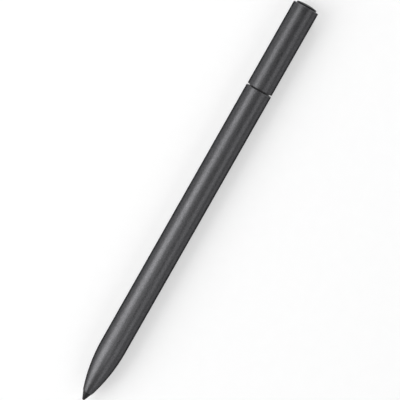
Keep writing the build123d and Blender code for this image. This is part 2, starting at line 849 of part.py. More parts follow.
# Detent spring: leaf in the stem's pocket, with a bump that runs in the sleeve's keyway
with BuildPart() as detent_spring:
    with BuildSketch(facing(detent_place, detent_floor, detent_roll)):
        Rectangle(detent_length, detent_width)
    extrude(amount=detent_thickness)
    with BuildSketch(facing(detent_place, detent_floor + detent_thickness, detent_roll)):
        Circle(detent_bump_radius)
    extrude(amount=bump_height - detent_floor - detent_thickness, taper=detent_bump_taper)

# Sleeve: tube with chamfered front edge, rounded rim and a blind keyway that stops it when open
with BuildPart() as sleeve:
    with BuildSketch(across(sleeve_start)):
        Circle(sleeve_radius)
        Circle(sleeve_bore_radius, mode=Mode.SUBTRACT)
    extrude(amount=sleeve_length)
    sleeve_edges = sleeve.edges().filter_by(GeomType.CIRCLE).group_by(Axis.X)
    chamfer(sleeve_edges[0].sort_by(SortBy.RADIUS)[-1], groove_chamfer)
    fillet(sleeve_edges[-1].sort_by(SortBy.RADIUS)[-1], rim_radius)
    keyway_length = sleeve_travel + 2 * detent_bump_radius + 2 * slide_gap
    with BuildSketch(facing(detent_place - sleeve_travel / 2, 0, detent_roll)):
        SlotOverall(keyway_length, 2 * detent_bump_radius + 2 * slide_gap)
    extrude(amount=keyway_floor, mode=Mode.SUBTRACT)

# Tail button: domed head, shank through the bush and a groove for the clip
with BuildPart() as tail_button:
    with BuildSketch(lengthwise()):
        with BuildLine():
            TangentArc((pen_length, 0), (pen_length - head_dome, head_radius), tangent=(0, 1))
            Polyline(
                (pen_length - head_dome, head_radius),
                (head_bottom, head_radius),
                (head_bottom, shank_radius),
                (clip_end, shank_radius),
                (clip_end, shank_radius - clip_groove),
                (clip_start, shank_radius - clip_groove),
                (clip_start, shank_radius),
                (shank_end, shank_radius),
                (shank_end, 0),
                (pen_length, 0),
            )
        make_face()
    revolve(axis=pen_axis)
    round_edges = tail_button.edges().filter_by(lambda edge: edge.is_closed).group_by(Axis.X)
    fillet(round_edges[-1], head_edge)

tail_bush = ring(bush_start, bush_end, shank_radius + slide_gap, sleeve_bore_radius - seat_gap)
tail_spring = coil(bush_end, head_bottom, tail_spring_radius, tail_spring_wire, tail_spring_turns)

# Clip: open ring in the shank's groove
with BuildPart() as tail_clip:
    with BuildSketch(across(clip_start)):
        Circle(clip_radius)
        Circle(shank_radius - clip_groove + seat_gap, mode=Mode.SUBTRACT)
        with Locations((clip_radius, 0)):
            Rectangle(2 * clip_radius, shank_radius, mode=Mode.SUBTRACT)
    extrude(amount=clip_thickness)

# Tail board: round board in the stem's end
with BuildPart() as tail_board:
    with BuildSketch(across(tail_board_start)):
        Circle(tail_board_radius - seat_gap)
    extrude(amount=tail_board_thickness)

# Tail switch, with a hole for its plunger
with BuildPart() as tail_switch:
    with BuildSketch(across(tail_board_end)):
        Rectangle(tail_switch_size, tail_switch_size)
    extrude(amount=tail_switch_height)
    with BuildSketch(across(tail_switch_end)):
        Circle(plunger_radius + slide_gap)
    extrude(amount=-(plunger_depth + tail_travel + stop_gap), mode=Mode.SUBTRACT)

with BuildPart() as tail_plunger:
    with BuildSketch(across(tail_plunger_end)):
        Circle(plunger_radius)
    extrude(amount=-(plunger_height + plunger_depth))

pieces = {
    "barrel": barrel,
    "nib": nib,
    "pressure_rod": pressure_rod,
    "nose_insert": nose_insert,
    "tilt_ring": tilt_ring,
    "rod_spring": rod_spring,
    "sensor_pad": sensor_pad,
    "force_sensor": force_sensor,
    "sensor_flex": sensor_flex,
    "chassis": chassis,
    "main_board": main_board,
    "board_screws": board_screws,
    "barrel_switches": barrel_switches,
    "front_plunger": front_plunger,
    "rear_plunger": rear_plunger,
    "front_button": front_button,
    "rear_button": rear_button,
    "controller_chip": controller_chip,
    "crystal": crystal,
    "radio_chip": radio_chip,
    "radio_shield": radio_shield,
    "passives": passives,
    "battery": battery,
    "battery_tabs": battery_tabs,
    "tail_flex": tail_flex,
    "stem": stem,
    "stem_screws": stem_screws,
    "port_shell": port_shell,
    "port_tongue": port_tongue,
    "port_contacts": port_contacts,
    "charge_board": charge_board,
    "status_led": status_led,
    "light_pipe": light_pipe,
    "slide_ring": slide_ring,
    "detent_spring": detent_spring,
    "sleeve": sleeve,
    "tail_button": tail_button,
    "tail_bush": tail_bush,
    "tail_spring": tail_spring,
    "tail_clip": tail_clip,
    "tail_board": tail_board,
    "tail_switch": tail_switch,
    "tail_plunger": tail_plunger,
}
for label, piece in pieces.items():
    piece.part.label = label
    export_step(piece.part, f"parts/{label}.step")
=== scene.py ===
"""Dresses the frame of a stylus pen: outer shells, finishes of every piece, and the studio it lies in."""

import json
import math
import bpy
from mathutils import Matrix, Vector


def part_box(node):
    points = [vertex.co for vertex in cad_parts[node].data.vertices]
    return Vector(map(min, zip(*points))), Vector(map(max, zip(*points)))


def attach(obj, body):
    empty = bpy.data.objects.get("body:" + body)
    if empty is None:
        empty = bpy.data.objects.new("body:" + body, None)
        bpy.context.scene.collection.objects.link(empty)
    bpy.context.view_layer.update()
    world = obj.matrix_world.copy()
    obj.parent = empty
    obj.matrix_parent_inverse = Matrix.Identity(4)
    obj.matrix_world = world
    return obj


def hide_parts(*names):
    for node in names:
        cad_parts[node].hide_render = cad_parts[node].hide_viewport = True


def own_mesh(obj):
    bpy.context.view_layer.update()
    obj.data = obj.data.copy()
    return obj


bl_info = {
    "name": "Stylus Pen",
    "version": (1, 0, 0),
    "blender": (4, 5, 0),
    "location": "3D View > Sidebar > Pen",
    "description": "Builds the outer pieces of a stylus pen, finishes every piece and sets the stage",
    "category": "Object",
}

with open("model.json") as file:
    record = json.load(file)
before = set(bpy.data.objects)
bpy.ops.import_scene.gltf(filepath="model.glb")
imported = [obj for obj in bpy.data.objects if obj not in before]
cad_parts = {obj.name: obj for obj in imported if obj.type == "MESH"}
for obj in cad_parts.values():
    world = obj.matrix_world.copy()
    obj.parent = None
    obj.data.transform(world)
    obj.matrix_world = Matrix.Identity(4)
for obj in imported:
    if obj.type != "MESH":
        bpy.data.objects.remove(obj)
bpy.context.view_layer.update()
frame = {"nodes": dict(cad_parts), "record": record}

import bmesh
import bpy
from bpy.props import FloatProperty, FloatVectorProperty, IntProperty, PointerProperty
from mathutils import Matrix, Quaternion, Vector

# Pieces are turned about the pen's axis, which runs along X at the height of the barrel's middle.
# A roll is an angle about that axis: 0 faces the front (-Y) and a quarter turn faces up (+Z).
AXIS_HEIGHT = (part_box("barrel")[0][2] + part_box("barrel")[1][2]) / 2
BUTTONS = ("front_button", "rear_button")
BUTTON_ROLL = math.radians(-45)
DETENT_ROLL = math.radians(225)

# Fineness of the meshes: faces round a ring or along a curve.
TURN_STEPS = 160
NOSE_STEPS = 48
LINING_STEPS = 24
CROWN_STEPS = 24
ROUND_STEPS = 10
EDGE_STEPS = 6
SLOT_STEPS = 48
KEY_STEPS = 72
COIL_STEPS = 28
WIRE_STEPS = 12
FLOOR_STEPS = 96
RISE_STEPS = 9

# Greatest length of a face along a straight stretch.
SHELL_PITCH = 0.004
BORE_PITCH = 0.006
STEM_PITCH = 0.002
SHORT_PITCH = 0.001

# Rings on the face of a barrel button, as parts of the face's half width.
FACE_RINGS = (0.8, 0.6, 0.4, 0.2, 0.02)
# Radii of the floor's inner rings, the first of which is its middle.
FLOOR_RINGS = (0.0, 0.3, 0.8)

# Faces that meet at a larger angle than this show a corner between them.
CORNER_ANGLE = math.radians(27)
# Lean of a face's normal along X on a bevel or rounding: more than on a side, less than on a flat end.
SLOPE_LOW = 0.2
SLOPE_HIGH = 0.98
# Distance between the bands of a wave pattern whose scale is 1.
WAVE_PERIOD = 0.314
# Most of a noise pattern lies between these values.
PATTERN_LOW = 0.3
PATTERN_HIGH = 0.7

SLOT_COLOUR = {row["slot"]: row["base_color"][:3] for row in frame["record"]["materials"]}
SLOT_NODES = {}
for row in frame["record"]["subparts"]:
    SLOT_NODES.setdefault(row["material_slot"], []).append(row["node"])
TRAVEL = {joint["name"]: joint["range_m"][1] for joint in frame["record"]["behaviour"]["joints"]}


def length(name, description, default):
    """A length that a user may change."""
    return FloatProperty(name=name, description=description, default=default, min=0.0, precision=5,
                         unit="LENGTH", subtype="DISTANCE")


def angle(name, description, degrees):
    """An angle that a user may change, given in degrees."""
    return FloatProperty(name=name, description=description, default=math.radians(degrees), unit="ROTATION",
                         subtype="ANGLE")


def colour(name, description, slot):
    """The colour of a finish, which starts as the record's."""
    return FloatVectorProperty(name=name, description=description, min=0.0, max=1.0, size=3, subtype="COLOR",
                               default=SLOT_COLOUR[slot])


def level(name, description, default):
    """A plain number that a user may change."""
    return FloatProperty(name=name, description=description, default=default, min=0.0)


def whole(name, description, default):
    """A whole number, at least 1, that a user may change."""
    return IntProperty(name=name, description=description, default=default, min=1)


class PenSizes(bpy.types.PropertyGroup):
    """Sizes of the outer pieces that the frame's boxes don't give."""

    nose_length: length("Nose length", "From the barrel's mouth to its full diameter", 0.01865)
    barrel_wall: length("Barrel wall", "Thickness of the barrel's tube", 0.0007)
    mouth_edge: length("Mouth edge", "Width of the barrel's front rim", 0.00012)
    mouth_gap: length("Mouth gap", "Gap around the nib", 0.00005)
    slot_gap: length("Slot gap", "Gap around the barrel buttons", 0.00008)
    mouth_depth: length("Mouth depth", "From the mouth to the seat of the nose insert", 0.00225)
    nose_seat: length("Nose seat", "Radius of the bore at the seat of the nose insert", 0.00205)
    groove_edge: length("Groove edge", "Chamfer on each side of the groove", 0.00013)
    sleeve_wall: length("Sleeve wall", "Thickness of the sleeve's tube", 0.00087)
    keyway_depth: length("Keyway depth", "Depth of the groove in the sleeve's bore", 0.00042)
    keyway_width: length("Keyway width", "Width of the groove in the sleeve's bore", 0.0013)
    rim_round: length("Rim rounding", "Radius of the sleeve's rear rim", 0.00025)
    nib_point: length("Nib point", "Radius of the nib's point", 0.00057)
    nib_slope: angle("Nib slope", "Half angle of the nib's cone", 22)
    nib_neck: length("Nib neck", "Length of the nib's thick part behind its cone", 0.0033)
    nib_stem: length("Nib stem", "Radius of the nib's stem", 0.00085)
    button_length: length("Button length", "Length of a barrel button", 0.0086)
    button_width: length("Button width", "Width of a barrel button", 0.003)
    button_rise: length("Button rise", "How far a barrel button stands out of the barrel", 0.0002)
    button_edge: length("Button edge", "Rounding of a barrel button's edge", 0.00012)
    flange_overhang: length("Flange overhang", "How far a button's flange reaches under the barrel", 0.0005)
    flange_gap: length("Flange gap", "Gap between a button's flange and the barrel's bore", 0.00003)
    flange_height: length("Flange height", "Underside of a button's flange above the axis", 0.00305)
    post_height: length("Post height", "Foot of a button's post above the axis", 0.0021)
    post_radius: length("Post radius", "Radius of a button's post", 0.0007)
    head_depth: length("Head depth", "Thickness of the tail button's head", 0.0034)
    head_dome: length("Head dome", "Rise of the tail button's dome", 0.0004)
    head_edge: length("Head edge", "Rounding of the tail button's edge", 0.00032)
    shank_radius: length("Shank radius", "Radius of the tail button's shank", 0.0011)
    clip_depth: length("Clip depth", "Depth of the shank's groove for its clip", 0.0003)
    rod_wire: length("Rod spring wire", "Diameter of the wire of the pressure rod's spring", 0.00035)
    rod_turns: whole("Rod spring turns", "Turns of the pressure rod's spring", 5)
    tail_wire: length("Tail spring wire", "Diameter of the wire of the tail button's spring", 0.0003)
    tail_turns: whole("Tail spring turns", "Turns of the tail button's spring", 3)
    pad_tip: length("Pad tip", "Radius of the sensor pad where the pressure rod meets it", 0.0008)
    pad_edge: length("Pad edge", "Rounding of the sensor pad's front edge", 0.00012)


class PenColours(bpy.types.PropertyGroup):
    """Colours of the finishes."""

    graphite: colour("Graphite", "Anodised metal of the shells and barrel buttons", "graphite_metal")
    nib: colour("Nib", "Hard plastic of the nib", "nib_plastic")
    key: colour("Tail key", "Satin plastic of the tail button", "key_plastic")
    moulding: colour("Moulding", "Moulded plastic of the stem and the inner carriers", "black_plastic")
    steel: colour("Steel", "Springs, screws and drawn shells", "spring_steel")
    brass: colour("Brass", "Pressure rod and contacts", "brass")
    board: colour("Board", "Solder mask of the boards", "board")
    film: colour("Film", "Film of the flexible circuits", "flex_film")
    chip: colour("Chip", "Moulded chip packages", "chip")
    ceramic: colour("Ceramic", "Small capacitors", "chip_ceramic")
    wrap: colour("Wrap", "Film around the cell", "battery_wrap")
    rubber: colour("Rubber", "Slide ring and sensor pad", "soft_rubber")
    lamp: colour("Lamp", "Light pipe and lamp", "light_plastic")


class PenStudio(bpy.types.PropertyGroup):
    """Camera, lamps and floor."""

    view_distance: length("View distance", "From the camera to the point of the pen it looks at", 0.509)
    view_tilt: angle("View tilt", "Lean of the view towards the tail, from straight above", 7.75)
    view_turn: angle("View turn", "Angle of the pen in the picture, from the horizontal", 60.37)
    view_along: length("View along", "Place of the picture's middle along X", 0.0031)
    view_aside: length("View aside", "How far the picture's middle lies to the front of the axis", 0.001)
    lens: level("Lens", "Focal length in millimetres", 133.55)
    lamp_reach: length("Lamp reach", "From the pen to the lamps beside it, seen along the pen", 0.8)
    key_level: level("Key level", "Brightness of the lamp on the rear side", 3.4)
    key_slant: angle("Key slant", "Lean of the lamps on the rear side, from straight above", 47.5)
    key_twist: angle("Key twist", "Turn of the key lamp, which brings its nib end lower", -28)
    fill_level: level("Fill level", "Brightness of the lamp on the front side", 1.22)
    fill_slant: angle("Fill slant", "Lean of the lamp on the front side, from straight above", 48.5)
    rear_level: level("Rear level", "Brightness of the lamp behind the tail", 1.3)
    front_level: level("Front level", "Brightness of the lamp above the nib", 1.7)
    tail_level: level("Tail level", "Brightness of the small lamp that catches the sleeve's rim", 7.0)
    sky_level: level("Sky level", "Brightness of the studio around the pen", 0.34)
    sky_lean: FloatVectorProperty(
        name="Sky lean", description="Where the studio is brighter, and by how much",
        default=(-0.3, 0.4, -0.6), size=3, subtype="XYZ")
    floor_reach: length("Floor reach", "From the pen to where the floor starts to rise", 1.6)
    floor_bend: length("Floor bend", "Radius of the floor's rise", 1.0)
    floor_rise: angle("Floor rise", "Slope of the floor at its rim", 45)
    floor_grey: level("Floor grey", "Reflectance of the floor", 0.9)
    floor_glow: level("Floor glow", "Part of the floor that shows as plain white paper", 0.45)


def around(x, radius, roll, sideways=0.0):
    """Point at a radius from the pen's axis in the direction of a roll."""
    out = Vector((0, -math.cos(roll), math.sin(roll)))
    side = Vector((0, math.sin(roll), math.cos(roll)))
    return Vector((x, 0, AXIS_HEIGHT)) + out * radius + side * sideways


def middle_of(node):
    """Middle of a node along X."""
    low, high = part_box(node)
    return (low[0] + high[0]) / 2


def arc(centre, radius, start, end, steps):
    """Points (x, radius from the axis) on an arc of an outline, angles in radians from +X."""
    for step in range(steps + 1):
        turn = start + (end - start) * step / steps
        yield centre[0] + radius * math.cos(turn), centre[1] + radius * math.sin(turn)


def nose_arc(mouth, mouth_radius, full, full_radius, steps):
    """Points of the nose: an arc from the mouth that meets the straight barrel without a corner."""
    run = full - mouth
    rise = full_radius - mouth_radius
    bend = (run * run + rise * rise) / (2 * rise)
    for step in range(steps + 1):
        x = mouth + run * step / steps
        yield x, full_radius - bend + math.sqrt(bend * bend - (full - x) ** 2)


def straight(start, end, radius, pitch):
    """Points along a straight stretch of an outline, without its first one."""
    steps = max(1, math.ceil(abs(end - start) / pitch))
    for step in range(1, steps + 1):
        yield start + (end - start) * step / steps, radius


def skin(bm, rings):
    """Faces between neighbouring rings of the same count, or of a ring and a single point."""
    for one, other in zip(rings, rings[1:]):
        count = max(len(one), len(other))
        for step in range(count):
            after = (step + 1) % count
            corners = [one[step % len(one)], one[after % len(one)],
                       other[after % len(other)], other[step % len(other)]]
            face = bm.faces.new(list(dict.fromkeys(corners)))
            face.smooth = True


def piece_from(name, bm):
    """Object from a mesh in the making, shaded smooth up to its corners."""
    bmesh.ops.recalc_face_normals(bm, faces=bm.faces)
    mesh = bpy.data.meshes.new(name)
    bm.to_mesh(mesh)
    bm.free()
    mesh.set_sharp_from_angle(angle=CORNER_ANGLE)
    piece = bpy.data.objects.new(name, mesh)
    bpy.context.collection.objects.link(piece)
    return piece


def turned(name, outline, closed):
    """Piece turned about the pen's axis from (x, radius) points; a closed outline is a ring or tube."""
    bm = bmesh.new()
    rings = []
    for x, radius in outline:
        count = TURN_STEPS if radius > 0 else 1
        rings.append([bm.verts.new(around(x, radius, math.tau * step / count)) for step in range(count)])
    if closed:
        rings.append(rings[0])
    skin(bm, rings)
    return piece_from(name, bm)


def coil(name, start, end, radius, wire, turns):
    """Round-wire spring about the pen's axis between two places along X."""
    bm = bmesh.new()
    rings = []
    steps = COIL_STEPS * turns
    rise = (end - start - wire) / steps
    sides = [math.tau * side / WIRE_STEPS for side in range(WIRE_STEPS)]
    for step in range(steps + 1):
        roll = math.tau * turns * step / steps
        x = start + wire / 2 + rise * step
        centre = around(x, radius, roll)
        outwards = (centre - around(x, 0, roll)).normalized()
        sideways = around(x, 0, roll, 1.0) - around(x, 0, roll)
        ahead = (sideways * math.tau * radius * turns / steps + Vector((rise, 0, 0))).normalized()
        across = ahead.cross(outwards)
        rings.append([bm.verts.new(centre + (outwards * math.cos(turn) + across * math.sin(turn)) * wire / 2)
                      for turn in sides])
    skin(bm, rings)
    for ring in (rings[0], rings[-1]):
        bm.faces.new(ring)
    return piece_from(name, bm)


def slot_ring(half_straight, radius, steps):
    """Points (along, sideways) of a slot's round-ended outline; a half straight of 0 gives a circle."""
    for step in range(steps):
        turn = math.tau * (step + 0.5) / steps
        shift = half_straight if math.cos(turn) > 0 else -half_straight
        yield shift + radius * math.cos(turn), radius * math.sin(turn)


def slot_cutter(x, roll, long, wide, top):
    """Round-ended block that stands out from the axis, to cut a slot with."""
    bm = bmesh.new()
    rings = []
    for height in (0, top):
        rings.append([bm.verts.new(around(x + along, height, roll, sideways))
                      for along, sideways in slot_ring((long - wide) / 2, wide / 2, SLOT_STEPS)])
    skin(bm, rings)
    for ring in rings:
        bm.faces.new(ring)
    return piece_from("cutter", bm)


def cut(piece, cutters):
    """Takes the cutters out of a piece and removes them."""
    for cutter in cutters:
        taken = piece.modifiers.new("slot", "BOOLEAN")
        taken.operation = "DIFFERENCE"
        taken.solver = "EXACT"
        taken.object = cutter
    uncut = piece.data
    seen = piece.evaluated_get(bpy.context.evaluated_depsgraph_get())
    piece.data = bpy.data.meshes.new_from_object(seen)
    piece.modifiers.clear()
    bpy.data.meshes.remove(uncut)
    for cutter in cutters:
        bpy.data.meshes.remove(cutter.data)
    if len(piece.data.polygons) < TURN_STEPS:
        raise RuntimeError(f"the slots of {piece.name} couldn't be cut")
    piece.data.set_sharp_from_angle(angle=CORNER_ANGLE)


def level_at(height):
    """Height above the axis of a flat layer of a barrel button."""
    return lambda sideways: height


def round_at(radius, drop=0.0):
    """Height above the axis of a layer that is round about the axis, or lies a drop below such a one."""
    return lambda sideways: math.sqrt(radius ** 2 - sideways ** 2) - drop


def settle(piece, node, slot, *finishes):
    """The piece stands for its node, rides on the node's body and takes its finishes."""
    body = next(name for name, nodes in frame["record"]["behaviour"]["bodies"].items() if node in nodes)
    for finish in finishes:
        piece.data.materials.append(finish)
    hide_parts(node)
    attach(piece, body)


def brighten_with_glints(piece, stretches):
    """Gives the second finish, with its painted glint, to the sloped faces of a turned piece inside the
    stretches along X.
    """
    for face in piece.data.polygons:
        inside = any(low < face.center.x < high for low, high in stretches)
        face.material_index = 1 if inside and SLOPE_LOW < abs(face.normal.x) < SLOPE_HIGH else 0


def press_together(piece):
    """Gives the piece a mesh of its own."""
    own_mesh(piece)


def made_finish(name):
    """A finish that an earlier operator made."""
    finish = bpy.data.materials.get(name)
    if finish is None:
        raise RuntimeError(f"the finish {name} has to be made first")
    return finish


def dress(nodes, finish):
    """Gives CAD nodes that stay in view a finish."""
    for node in nodes:
        materials = frame["nodes"][node].data.materials
        if not materials:
            raise RuntimeError(f"{node} has no material slot")
        for index in range(len(materials)):
            materials[index] = finish


def shader(name):
    """New material, with its tree, its surface shader and the place on the piece."""
    material = bpy.data.materials.new(name)
    material.use_nodes = True
    tree = material.node_tree
    place = tree.nodes.new("ShaderNodeTexCoord").outputs["Object"]
    return material, tree, tree.nodes["Principled BSDF"], place


def grain(tree, place, size, detail=2.0, stretch=None):
    """Noise with spots of about the size, drawn out along an axis where stretch says so."""
    noise = tree.nodes.new("ShaderNodeTexNoise")
    noise.inputs["Scale"].default_value = 1 / size
    noise.inputs["Detail"].default_value = detail
    if stretch:
        mapping = tree.nodes.new("ShaderNodeMapping")
        mapping.inputs["Scale"].default_value = stretch
        tree.links.new(place, mapping.inputs["Vector"])
        place = mapping.outputs["Vector"]
    tree.links.new(place, noise.inputs["Vector"])
    return noise.outputs["Fac"]


def cells(tree, place, size):
    """Distance to the nearest of many scattered points, for pitted and pebbled surfaces."""
    pebbles = tree.nodes.new("ShaderNodeTexVoronoi")
    pebbles.inputs["Scale"].default_value = 1 / size
    tree.links.new(place, pebbles.inputs["Vector"])
    return pebbles.outputs["Distance"]


def stripes(tree, place, size, direction, wobble):
    """Bands across a direction."""
    wave = tree.nodes.new("ShaderNodeTexWave")
    wave.bands_direction = direction
    wave.inputs["Scale"].default_value = WAVE_PERIOD / size
    wave.inputs["Distortion"].default_value = wobble
    tree.links.new(place, wave.inputs["Vector"])
    return wave.outputs["Fac"]


def spread(tree, pattern, low, high):
    """The pattern as a number between low and high."""
    reach = tree.nodes.new("ShaderNodeMapRange")
    reach.inputs["From Min"].default_value = PATTERN_LOW
    reach.inputs["From Max"].default_value = PATTERN_HIGH
    reach.inputs["To Min"].default_value = low
    reach.inputs["To Max"].default_value = high
    tree.links.new(pattern, reach.inputs["Value"])
    return reach.outputs["Result"]


def tones(tree, pattern, *stops):
    """The pattern as a colour, from (position, colour) stops."""
    ramp = tree.nodes.new("ShaderNodeValToRGB")
    while len(ramp.color_ramp.elements) < len(stops):
        ramp.color_ramp.elements.new(0.5)
    for element, (position, tone) in zip(ramp.color_ramp.elements, stops):
        element.position = position
        element.color = (*tone, 1)
    tree.links.new(pattern, ramp.inputs["Fac"])
    return ramp.outputs["Color"]


def shade(tone, factor):
    """A tone made darker or lighter."""
    return tuple(min(1.0, part * factor) for part in tone)


def relief(tree, surface, height, depth, strength):
    """Raises and lowers the surface by the height pattern."""
    bump = tree.nodes.new("ShaderNodeBump")
    bump.inputs["Distance"].default_value = depth
    bump.inputs["Strength"].default_value = strength
    tree.links.new(height, bump.inputs["Height"])
    tree.links.new(bump.outputs["Normal"], surface.inputs["Normal"])


def paint(tree, surface, base, roughness):
    """Links a varying colour and a varying roughness."""
    tree.links.new(base, surface.inputs["Base Color"])
    tree.links.new(roughness, surface.inputs["Roughness"])


def graphite_finish(tone):
    """Bead-blasted and anodised metal: fine sparkle, faint clouds."""
    material, tree, surface, place = shader("blasted_graphite")
    sparkle = grain(tree, place, size=0.00034)
    clouds = grain(tree, place, size=0.006)
    paint(tree, surface,
          tones(tree, sparkle, (0.32, shade(tone, 0.75)), (0.5, tone), (0.7, shade(tone, 1.28))),
          spread(tree, clouds, low=0.37, high=0.43))
    relief(tree, surface, cells(tree, place, size=0.00012), depth=0.00001, strength=0.2)
    surface.inputs["Metallic"].default_value = 1.0
    surface.inputs["Specular Tint"].default_value = (0.03, 0.03, 0.03, 1)
    return material


def turned_edge_glint_finish(tone):
    """Freshly turned edges of the shells: smoother, with fine rings, and lighter than the blasted metal,
    partly as bare turned metal and partly as a painted glint.
    """
    material, tree, surface, place = shader("turned_graphite_glint")
    rings = grain(tree, place, size=0.0004, stretch=(8, 1, 1))
    # The edge tone, 1.2 to 1.7 times the shells' tone, is partly bare turned metal and partly a painted glint
    # on the chamfers and rim.
    paint(tree, surface,
          tones(tree, rings, (0.35, shade(tone, 1.2)), (0.65, shade(tone, 1.7))),
          spread(tree, rings, low=0.24, high=0.34))
    relief(tree, surface, rings, depth=0.000006, strength=0.2)
    surface.inputs["Metallic"].default_value = 1.0
    surface.inputs["Specular Tint"].default_value = (0.5, 0.5, 0.5, 1)
    return material


def nib_finish(tone):
    """Hard matt plastic with faint scuffs along the tip."""
    material, tree, surface, place = shader("scuffed_nib")
    scuffs = grain(tree, place, size=0.0006, detail=4.0, stretch=(1, 5, 5))
    paint(tree, surface,
          tones(tree, scuffs, (0.3, shade(tone, 0.5)), (0.75, tone)),
          spread(tree, scuffs, low=0.42, high=0.54))
    relief(tree, surface, cells(tree, place, size=0.00015), depth=0.000008, strength=0.25)
    surface.inputs["Specular IOR Level"].default_value = 0.25
    return material


def key_finish(tone):
    """Satin black plastic of the tail button, with a faint ring pattern from its mould."""
    material, tree, surface, place = shader("satin_key")
    rings = grain(tree, place, size=0.0005, detail=3.0, stretch=(6, 1, 1))
    paint(tree, surface,
          tones(tree, rings, (0.3, shade(tone, 0.8)), (0.7, shade(tone, 1.25))),
          spread(tree, rings, low=0.34, high=0.46))
    relief(tree, surface, cells(tree, place, size=0.0001), depth=0.000006, strength=0.25)
    surface.inputs["Specular IOR Level"].default_value = 0.12
    return material


def moulding_finish(tone):
    """Moulded black plastic with a fine spark-eroded texture."""
    material, tree, surface, place = shader("eroded_moulding")
    clouds = grain(tree, place, size=0.003, detail=3.0)
    paint(tree, surface,
          tones(tree, clouds, (0.3, shade(tone, 0.85)), (0.7, shade(tone, 1.2))),
          spread(tree, clouds, low=0.42, high=0.55))
    relief(tree, surface, cells(tree, place, size=0.0002), depth=0.000012, strength=0.35)
    return material


def steel_finish(tone):
    """Drawn and rolled steel with fine lines along the pen."""
    material, tree, surface, place = shader("drawn_steel")
    lines = grain(tree, place, size=0.0002, detail=3.0, stretch=(0.15, 1, 1))
    paint(tree, surface,
          tones(tree, lines, (0.3, shade(tone, 0.8)), (0.7, shade(tone, 1.15))),
          spread(tree, lines, low=0.22, high=0.38))
    relief(tree, surface, lines, depth=0.000005, strength=0.2)
    surface.inputs["Metallic"].default_value = 1.0
    return material


def brass_finish(tone):
    """Turned and plated brass with rings round the pen."""
    material, tree, surface, place = shader("plated_brass")
    rings = grain(tree, place, size=0.0003, detail=3.0, stretch=(1, 0.2, 0.2))
    paint(tree, surface,
          tones(tree, rings, (0.3, shade(tone, 0.82)), (0.7, shade(tone, 1.12))),
          spread(tree, rings, low=0.2, high=0.34))
    relief(tree, surface, rings, depth=0.000005, strength=0.2)
    surface.inputs["Metallic"].default_value = 1.0
    return material


def board_finish(tone):
    """Solder mask with copper tracks that show through it as lighter lines."""
    material, tree, surface, place = shader("masked_board")
    tracks = stripes(tree, place, size=0.0006, direction="Y", wobble=1.5)
    weave = grain(tree, place, size=0.0004)
    paint(tree, surface,
          tones(tree, tracks, (0.55, tone), (0.68, shade(tone, 1.8)), (0.9, shade(tone, 1.6))),
          spread(tree, weave, low=0.28, high=0.42))
    relief(tree, surface, tracks, depth=0.00002, strength=0.3)
    return material


def film_finish(tone):
    """Amber film with copper lines under it."""
    material, tree, surface, place = shader("amber_film")
    lines = stripes(tree, place, size=0.0003, direction="Z", wobble=0.3)
    wrinkles = grain(tree, place, size=0.002)
    paint(tree, surface,
          tones(tree, lines, (0.4, tone), (0.6, shade(tone, 1.45))),
          spread(tree, wrinkles, low=0.2, high=0.35))
    relief(tree, surface, wrinkles, depth=0.00003, strength=0.3)
    return material


def chip_finish(tone):
    """Moulded package with a matt, pitted face."""
    material, tree, surface, place = shader("matt_package")
    pits = grain(tree, place, size=0.0001, detail=3.0)
    paint(tree, surface,
          tones(tree, pits, (0.3, shade(tone, 0.8)), (0.7, shade(tone, 1.3))),
          spread(tree, pits, low=0.5, high=0.65))
    relief(tree, surface, pits, depth=0.000008, strength=0.3)
    return material


def ceramic_finish(tone):
    """Fired ceramic with darker grains."""
    material, tree, surface, place = shader("fired_ceramic")
    grains = grain(tree, place, size=0.00012, detail=4.0)
    paint(tree, surface,
          tones(tree, grains, (0.3, shade(tone, 0.7)), (0.6, tone), (0.8, shade(tone, 1.2))),
          spread(tree, grains, low=0.4, high=0.6))
    relief(tree, surface, grains, depth=0.000008, strength=0.3)
    return material


def wrap_finish(tone):
    """Shrunk film round the cell: glossy, with soft wrinkles along it."""
    material, tree, surface, place = shader("shrunk_wrap")
    wrinkles = grain(tree, place, size=0.003, detail=3.0, stretch=(0.3, 1, 1))
    paint(tree, surface,
          tones(tree, wrinkles, (0.3, shade(tone, 0.85)), (0.7, shade(tone, 1.15))),
          spread(tree, wrinkles, low=0.22, high=0.36))
    relief(tree, surface, wrinkles, depth=0.00004, strength=0.4)
    return material


def rubber_finish(tone):
    """Silicone rubber with a dull bloom."""
    material, tree, surface, place = shader("dull_rubber")
    bloom = grain(tree, place, size=0.0005, detail=3.0)
    paint(tree, surface,
          tones(tree, bloom, (0.3, shade(tone, 0.85)), (0.75, shade(tone, 1.5))),
          spread(tree, bloom, low=0.62, high=0.78))
    relief(tree, surface, bloom, depth=0.00001, strength=0.3)
    return material


def lamp_finish(tone):
    """Milky clear plastic that passes the lamp's light on."""
    material, tree, surface, place = shader("milky_plastic")
    haze = grain(tree, place, size=0.0003)
    paint(tree, surface,
          tones(tree, haze, (0.3, shade(tone, 0.9)), (0.7, tone)),
          spread(tree, haze, low=0.18, high=0.3))
    relief(tree, surface, haze, depth=0.000005, strength=0.2)
    surface.inputs["Transmission Weight"].default_value = 0.35
    return material


